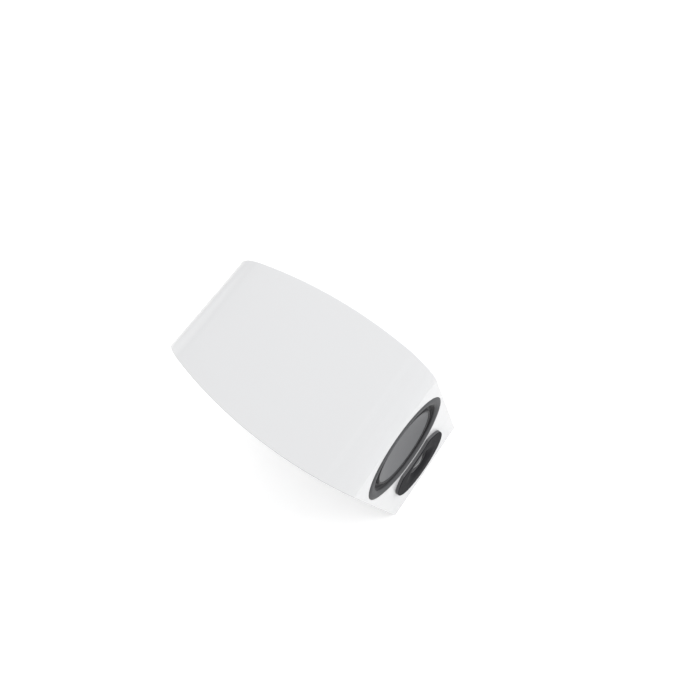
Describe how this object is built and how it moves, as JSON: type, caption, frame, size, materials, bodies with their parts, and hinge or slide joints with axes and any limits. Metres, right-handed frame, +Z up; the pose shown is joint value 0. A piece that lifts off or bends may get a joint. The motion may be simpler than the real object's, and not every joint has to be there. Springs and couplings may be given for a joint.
{
  "type": "bookshelf speaker",
  "caption": "Two-way bookshelf speaker with bowed white cabinet, upper woofer, lower dome tweeter, rear port and screw-down binding posts.",
  "frame": {"origin": "middle of the base, in the plane that the cabinet stands on, midway between the baffle and the rear panel", "axes": "+Z up, the baffle with the drivers faces -Y, +X on the right when one stands in front of the baffle"},
  "size_m": [0.1644, 0.2959, 0.305],
  "materials": {
    "white_lacquer": "high gloss lacquer over fibreboard",
    "brace_wood": "raw fibreboard",
    "wadding": "soft polyester wadding",
    "port_plastic": "satin moulded plastic",
    "trim_grey": "satin dark grey",
    "surround_rubber": "satin rubber",
    "cone_grey": "satin grey diaphragm",
    "spider_cloth": "resin-treated cloth",
    "coil_copper": "enamelled copper winding",
    "basket_metal": "die-cast, dark coated",
    "gasket_foam": "closed-cell foam",
    "plated_steel": "zinc plated",
    "black_steel": "black oxide",
    "ferrite": "dull ferrite",
    "tag_board": "laminate board",
    "tweeter_plate_black": "satin black moulding",
    "dome_cloth": "coated cloth dome",
    "terminal_black": "glossy black moulding",
    "gold": "gold plated",
    "red_plastic": "gloss red",
    "black_plastic": "gloss black",
    "clear_plastic": "clear moulded plastic",
    "capacitor_film": "wrapped film",
    "wire_jacket": "vinyl insulation"
  },
  "bodies": {
    "cabinet": {"black_post_collar": "terminal_black", "black_post_inner_nut": "gold", "black_post_stud": "gold", "board_screws": "plated_steel", "board_spacers": "terminal_black", "bottom_panel": "white_lacquer", "crossover_board": "tag_board", "crossover_capacitors": "capacitor_film", "crossover_resistor": "black_plastic", "front_baffle": "white_lacquer", "input_wires": "wire_jacket", "left_damping_pad": "wadding", "left_side_wall": "white_lacquer", "port_flange": "port_plastic", "port_inner_flare": "port_plastic", "port_tube": "port_plastic", "rear_panel": "white_lacquer", "red_post_collar": "terminal_black", "red_post_inner_nut": "gold", "red_post_stud": "gold", "right_damping_pad": "wadding", "right_side_wall": "white_lacquer", "terminal_gasket": "gasket_foam", "terminal_plate": "terminal_black", "terminal_screws": "black_steel", "top_panel": "white_lacquer", "tweeter_faceplate": "tweeter_plate_black", "tweeter_flange": "tweeter_plate_black", "tweeter_gasket": "gasket_foam", "tweeter_inductor": "coil_copper", "tweeter_magnet": "ferrite", "tweeter_pole_piece": "plated_steel", "tweeter_rear_chamber": "tweeter_plate_black", "tweeter_screws": "black_steel", "tweeter_surround": "dome_cloth", "tweeter_top_plate": "plated_steel", "tweeter_wires": "wire_jacket", "window_brace": "brace_wood", "woofer_basket": "basket_metal", "woofer_gasket": "gasket_foam", "woofer_inductor": "coil_copper", "woofer_magnet": "ferrite", "woofer_pole_piece": "plated_steel", "woofer_screws": "black_steel", "woofer_spider": "spider_cloth", "woofer_surround": "surround_rubber", "woofer_terminal_strip": "tag_board", "woofer_top_plate": "plated_steel", "woofer_trim_ring": "trim_grey", "woofer_wires": "wire_jacket"},
    "woofer_moving": {"woofer_cone": "cone_grey", "woofer_voice_coil": "coil_copper"},
    "tweeter_moving": {"tweeter_dome": "dome_cloth", "tweeter_voice_coil": "coil_copper"},
    "red_nut_travel": {"red_post_colour_ring": "red_plastic"},
    "red_nut": {"red_post_nut": "gold", "red_post_clear_cap": "clear_plastic"},
    "black_nut_travel": {"black_post_colour_ring": "black_plastic"},
    "black_nut": {"black_post_nut": "gold", "black_post_clear_cap": "clear_plastic"}
  },
  "joints": [
    {"name": "woofer_stroke", "type": "slide", "parent": "cabinet", "child": "woofer_moving", "axis": [0, -1, 0], "range_m": [-0.005, 0.005], "stiffness_N_per_m": 900, "deforming": ["woofer_surround", "woofer_spider"]},
    {"name": "tweeter_stroke", "type": "slide", "parent": "cabinet", "child": "tweeter_moving", "axis": [0, -1, 0], "range_m": [-0.0005, 0.0005], "stiffness_N_per_m": 300, "deforming": ["tweeter_surround"]},
    {"name": "red_nut_lift", "type": "slide", "parent": "cabinet", "child": "red_nut_travel", "axis": [0, 1, 0], "range_m": [0, 0.0041]},
    {"name": "red_nut_turn", "type": "hinge", "parent": "red_nut_travel", "child": "red_nut", "pos_m": [-0.015, 0.1443, 0.112], "axis": [0, 1, 0], "range_deg": [0, 1800]},
    {"name": "black_nut_lift", "type": "slide", "parent": "cabinet", "child": "black_nut_travel", "axis": [0, 1, 0], "range_m": [0, 0.0041]},
    {"name": "black_nut_turn", "type": "hinge", "parent": "black_nut_travel", "child": "black_nut", "pos_m": [0.015, 0.1443, 0.112], "axis": [0, 1, 0], "range_deg": [0, 1800]}
  ],
  "couplings": [
    {"joint": "red_nut_lift", "follows": "red_nut_turn", "m_per_rad": 0.00012732},
    {"joint": "black_nut_lift", "follows": "black_nut_turn", "m_per_rad": 0.00012732}
  ]
}
